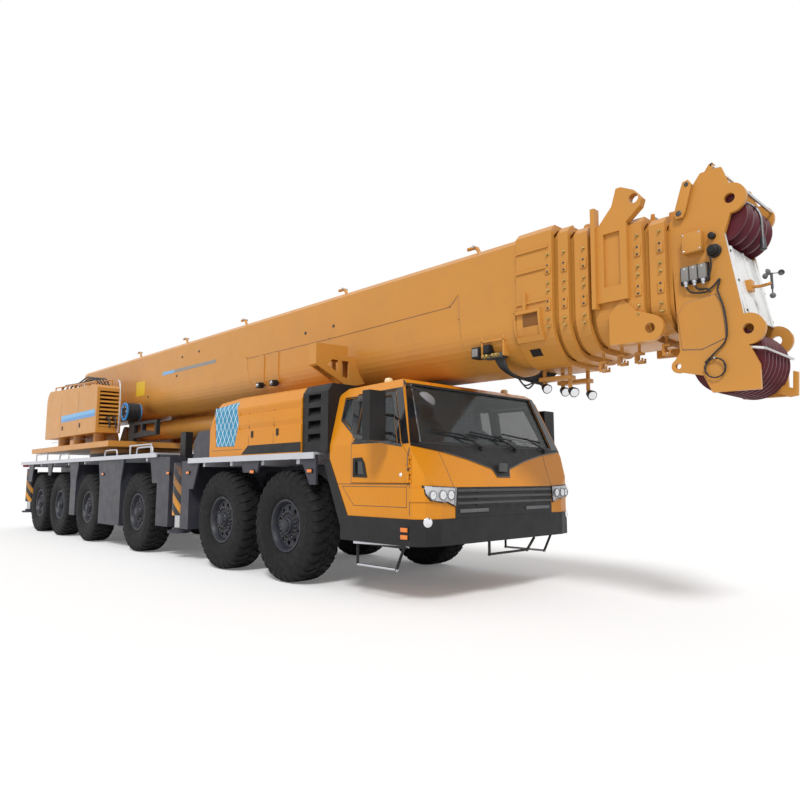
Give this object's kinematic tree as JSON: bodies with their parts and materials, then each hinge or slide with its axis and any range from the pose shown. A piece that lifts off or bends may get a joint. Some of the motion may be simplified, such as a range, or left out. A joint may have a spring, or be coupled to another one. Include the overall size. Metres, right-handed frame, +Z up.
{
  "type": "all-terrain mobile crane",
  "caption": "Mobile crane in travel order: driver cab, slewing upper works, telescopic boom over the cab, sliding outriggers with jacks and steered wheels.",
  "frame": {"origin": "on the ground below the middle of the whole machine", "axes": "+X to the front of the vehicle, +Y to its left, +Z up"},
  "size_m": [18.6319, 3.46, 4.1357],
  "materials": {
    "cab_paint": "satin amber-yellow paint",
    "boom_paint": "satin tan-yellow paint",
    "chassis_paint": "satin dark slate paint",
    "deck_metal": "brushed chequer plate",
    "black_trim": "matt black",
    "glass": "clear tinted",
    "lamp": "clear gloss",
    "engine": "painted casting",
    "tyre": "matt rubber with dark painted rim",
    "sheave_paint": "satin maroon",
    "rod_steel": "ground steel"
  },
  "bodies": {
    "carrier": {"chassis_frame": "chassis_paint", "axle_beams": "chassis_paint", "deck_plates": "deck_metal", "side_lockers": "chassis_paint", "cab_shell": "cab_paint", "cab_glass": "glass", "cab_interior": "black_trim", "bumper_grille": "black_trim", "lamps": "lamp", "steps_rails": "deck_metal", "engine_housing": "cab_paint", "intake_columns": "black_trim", "engine_block": "engine"},
    "cab_door_left": {"cab_door_left": "cab_paint"},
    "cab_door_right": {"cab_door_right": "cab_paint"},
    "wheel_1_left": {"wheel_1_left": "tyre"},
    "knuckle_1_left": {"knuckle_1_left": "chassis_paint"},
    "wheel_1_right": {"wheel_1_right": "tyre"},
    "knuckle_1_right": {"knuckle_1_right": "chassis_paint"},
    "wheel_2_left": {"wheel_2_left": "tyre"},
    "knuckle_2_left": {"knuckle_2_left": "chassis_paint"},
    "wheel_2_right": {"wheel_2_right": "tyre"},
    "knuckle_2_right": {"knuckle_2_right": "chassis_paint"},
    "wheel_3_left": {"wheel_3_left": "tyre"},
    "wheel_3_right": {"wheel_3_right": "tyre"},
    "wheel_4_left": {"wheel_4_left": "tyre"},
    "wheel_4_right": {"wheel_4_right": "tyre"},
    "wheel_5_left": {"wheel_5_left": "tyre"},
    "knuckle_5_left": {"knuckle_5_left": "chassis_paint"},
    "wheel_5_right": {"wheel_5_right": "tyre"},
    "knuckle_5_right": {"knuckle_5_right": "chassis_paint"},
    "wheel_6_left": {"wheel_6_left": "tyre"},
    "knuckle_6_left": {"knuckle_6_left": "chassis_paint"},
    "wheel_6_right": {"wheel_6_right": "tyre"},
    "knuckle_6_right": {"knuckle_6_right": "chassis_paint"},
    "beam_front_left": {"beam_front_left": "chassis_paint"},
    "jack_front_left": {"jack_front_left": "rod_steel"},
    "beam_front_right": {"beam_front_right": "chassis_paint"},
    "jack_front_right": {"jack_front_right": "rod_steel"},
    "beam_rear_left": {"beam_rear_left": "chassis_paint"},
    "jack_rear_left": {"jack_rear_left": "rod_steel"},
    "beam_rear_right": {"beam_rear_right": "chassis_paint"},
    "jack_rear_right": {"jack_rear_right": "rod_steel"},
    "superstructure": {"turntable": "boom_paint", "machine_house": "boom_paint", "operator_cab": "cab_paint", "hoist_gear": "boom_paint"},
    "operator_door": {"operator_door": "cab_paint"},
    "hoist_drum": {"hoist_drum": "chassis_paint"},
    "boom": {"boom_base": "boom_paint", "boom_lugs": "boom_paint"},
    "boom_section_1": {"boom_section_1": "boom_paint"},
    "boom_section_2": {"boom_section_2": "boom_paint"},
    "boom_section_3": {"boom_section_3": "boom_paint"},
    "boom_section_4": {"boom_section_4": "boom_paint"},
    "boom_head": {"boom_head": "boom_paint"},
    "lower_sheaves": {"lower_sheaves": "sheave_paint"},
    "upper_sheaves": {"upper_sheaves": "sheave_paint"},
    "luff_barrel": {"luff_barrel": "boom_paint"},
    "luff_rod": {"luff_rod": "rod_steel"}
  },
  "joints": [
    {"name": "cab_door_left_hinge", "type": "hinge", "parent": "carrier", "child": "cab_door_left", "pos_m": [6.116, 1.417, 1.5], "axis": [0, 0, -1], "range_deg": [0, 75]},
    {"name": "cab_door_right_hinge", "type": "hinge", "parent": "carrier", "child": "cab_door_right", "pos_m": [6.116, -1.417, 1.5], "axis": [0, 0, 1], "range_deg": [0, 75]},
    {"name": "steer_1_left", "type": "hinge", "parent": "carrier", "child": "knuckle_1_left", "pos_m": [3.825, 0.96, 0.72], "axis": [0, 0, 1], "range_deg": [-30, 30]},
    {"name": "roll_1_left", "type": "hinge", "parent": "knuckle_1_left", "child": "wheel_1_left", "pos_m": [3.825, 1.24, 0.72], "axis": [0, 1, 0], "continuous": true},
    {"name": "steer_1_right", "type": "hinge", "parent": "carrier", "child": "knuckle_1_right", "pos_m": [3.825, -0.96, 0.72], "axis": [0, 0, 1], "range_deg": [-30, 30]},
    {"name": "roll_1_right", "type": "hinge", "parent": "knuckle_1_right", "child": "wheel_1_right", "pos_m": [3.825, -1.24, 0.72], "axis": [0, 1, 0], "continuous": true},
    {"name": "steer_2_left", "type": "hinge", "parent": "carrier", "child": "knuckle_2_left", "pos_m": [2.115, 0.96, 0.72], "axis": [0, 0, 1], "range_deg": [-24, 24]},
    {"name": "roll_2_left", "type": "hinge", "parent": "knuckle_2_left", "child": "wheel_2_left", "pos_m": [2.115, 1.24, 0.72], "axis": [0, 1, 0], "continuous": true},
    {"name": "steer_2_right", "type": "hinge", "parent": "carrier", "child": "knuckle_2_right", "pos_m": [2.115, -0.96, 0.72], "axis": [0, 0, 1], "range_deg": [-24, 24]},
    {"name": "roll_2_right", "type": "hinge", "parent": "knuckle_2_right", "child": "wheel_2_right", "pos_m": [2.115, -1.24, 0.72], "axis": [0, 1, 0], "continuous": true},
    {"name": "roll_3_left", "type": "hinge", "parent": "carrier", "child": "wheel_3_left", "pos_m": [-1.095, 1.24, 0.72], "axis": [0, 1, 0], "continuous": true},
    {"name": "roll_3_right", "type": "hinge", "parent": "carrier", "child": "wheel_3_right", "pos_m": [-1.095, -1.24, 0.72], "axis": [0, 1, 0], "continuous": true},
    {"name": "roll_4_left", "type": "hinge", "parent": "carrier", "child": "wheel_4_left", "pos_m": [-3.825, 1.24, 0.72], "axis": [0, 1, 0], "continuous": true},
    {"name": "roll_4_right", "type": "hinge", "parent": "carrier", "child": "wheel_4_right", "pos_m": [-3.825, -1.24, 0.72], "axis": [0, 1, 0], "continuous": true},
    {"name": "steer_5_left", "type": "hinge", "parent": "carrier", "child": "knuckle_5_left", "pos_m": [-5.805, 0.96, 0.72], "axis": [0, 0, 1], "range_deg": [-15, 15]},
    {"name": "roll_5_left", "type": "hinge", "parent": "knuckle_5_left", "child": "wheel_5_left", "pos_m": [-5.805, 1.24, 0.72], "axis": [0, 1, 0], "continuous": true},
    {"name": "steer_5_right", "type": "hinge", "parent": "carrier", "child": "knuckle_5_right", "pos_m": [-5.805, -0.96, 0.72], "axis": [0, 0, 1], "range_deg": [-15, 15]},
    {"name": "roll_5_right", "type": "hinge", "parent": "knuckle_5_right", "child": "wheel_5_right", "pos_m": [-5.805, -1.24, 0.72], "axis": [0, 1, 0], "continuous": true},
    {"name": "steer_6_left", "type": "hinge", "parent": "carrier", "child": "knuckle_6_left", "pos_m": [-7.475, 0.96, 0.72], "axis": [0, 0, 1], "range_deg": [-22.5, 22.5]},
    {"name": "roll_6_left", "type": "hinge", "parent": "knuckle_6_left", "child": "wheel_6_left", "pos_m": [-7.475, 1.24, 0.72], "axis": [0, 1, 0], "continuous": true},
    {"name": "steer_6_right", "type": "hinge", "parent": "carrier", "child": "knuckle_6_right", "pos_m": [-7.475, -0.96, 0.72], "axis": [0, 0, 1], "range_deg": [-22.5, 22.5]},
    {"name": "roll_6_right", "type": "hinge", "parent": "knuckle_6_right", "child": "wheel_6_right", "pos_m": [-7.475, -1.24, 0.72], "axis": [0, 1, 0], "continuous": true},
    {"name": "outrigger_front_left_slide", "type": "slide", "parent": "carrier", "child": "beam_front_left", "axis": [0, 1, 0], "range_m": [0, 2]},
    {"name": "jack_front_left_slide", "type": "slide", "parent": "beam_front_left", "child": "jack_front_left", "axis": [0, 0, -1], "range_m": [0, 0.62]},
    {"name": "outrigger_front_right_slide", "type": "slide", "parent": "carrier", "child": "beam_front_right", "axis": [0, -1, 0], "range_m": [0, 2]},
    {"name": "jack_front_right_slide", "type": "slide", "parent": "beam_front_right", "child": "jack_front_right", "axis": [0, 0, -1], "range_m": [0, 0.62]},
    {"name": "outrigger_rear_left_slide", "type": "slide", "parent": "carrier", "child": "beam_rear_left", "axis": [0, 1, 0], "range_m": [0, 2]},
    {"name": "jack_rear_left_slide", "type": "slide", "parent": "beam_rear_left", "child": "jack_rear_left", "axis": [0, 0, -1], "range_m": [0, 0.62]},
    {"name": "outrigger_rear_right_slide", "type": "slide", "parent": "carrier", "child": "beam_rear_right", "axis": [0, -1, 0], "range_m": [0, 2]},
    {"name": "jack_rear_right_slide", "type": "slide", "parent": "beam_rear_right", "child": "jack_rear_right", "axis": [0, 0, -1], "range_m": [0, 0.62]},
    {"name": "slew", "type": "hinge", "parent": "carrier", "child": "superstructure", "pos_m": [-4.775, 0, 1.9], "axis": [0, 0, 1], "continuous": true},
    {"name": "operator_door_slide", "type": "slide", "parent": "superstructure", "child": "operator_door", "axis": [-1, 0, 0], "range_m": [0, 0.68]},
    {"name": "hoist_turn", "type": "hinge", "parent": "superstructure", "child": "hoist_drum", "pos_m": [-8.085, 0, 2.51], "axis": [0, 1, 0], "continuous": true},
    {"name": "luff", "type": "hinge", "parent": "superstructure", "child": "boom", "pos_m": [-6.575, 0, 3.05], "axis": [0, -1, 0], "range_deg": [0, 82]},
    {"name": "telescope_1", "type": "slide", "parent": "boom", "child": "boom_section_1", "axis": [0.9999, 0, -0.0148], "range_m": [0, 9.5]},
    {"name": "telescope_2", "type": "slide", "parent": "boom_section_1", "child": "boom_section_2", "axis": [0.9999, 0, -0.0148], "range_m": [0, 9.5]},
    {"name": "telescope_3", "type": "slide", "parent": "boom_section_2", "child": "boom_section_3", "axis": [0.9999, 0, -0.0148], "range_m": [0, 9.5]},
    {"name": "telescope_4", "type": "slide", "parent": "boom_section_3", "child": "boom_section_4", "axis": [0.9999, 0, -0.0148], "range_m": [0, 9.5]},
    {"name": "telescope_5", "type": "slide", "parent": "boom_section_4", "child": "boom_head", "axis": [0.9999, 0, -0.0148], "range_m": [0, 9.5]},
    {"name": "lower_sheaves_turn", "type": "hinge", "parent": "boom_head", "child": "lower_sheaves", "pos_m": [8.98256, 0, 2.34913], "axis": [0, 1, 0], "continuous": true},
    {"name": "upper_sheaves_turn", "type": "hinge", "parent": "boom_head", "child": "upper_sheaves", "pos_m": [8.98641, 0, 3.61921], "axis": [0, 1, 0], "continuous": true},
    {"name": "luff_barrel_swing", "type": "hinge", "parent": "superstructure", "child": "luff_barrel", "pos_m": [-5.2, 0, 2.45], "axis": [0, -1, 0], "range_deg": [0, 88.77]},
    {"name": "luff_rod_slide", "type": "slide", "parent": "luff_barrel", "child": "luff_rod", "axis": [0.9999, 0, -0.0116], "range_m": [0, 1.825]}
  ],
  "couplings": [
    {"joint": "steer_1_right", "follows": "steer_1_left", "ratio": 1},
    {"joint": "steer_2_left", "follows": "steer_1_left", "ratio": 0.8},
    {"joint": "steer_2_right", "follows": "steer_1_left", "ratio": 0.8},
    {"joint": "steer_5_left", "follows": "steer_1_left", "ratio": -0.5},
    {"joint": "steer_5_right", "follows": "steer_1_left", "ratio": -0.5},
    {"joint": "steer_6_left", "follows": "steer_1_left", "ratio": -0.75},
    {"joint": "steer_6_right", "follows": "steer_1_left", "ratio": -0.75},
    {"joint": "luff_barrel_swing", "follows": "luff", "ratio": 1.0764},
    {"joint": "luff_rod_slide", "follows": "luff", "m_per_rad": 1.2684}
  ]
}
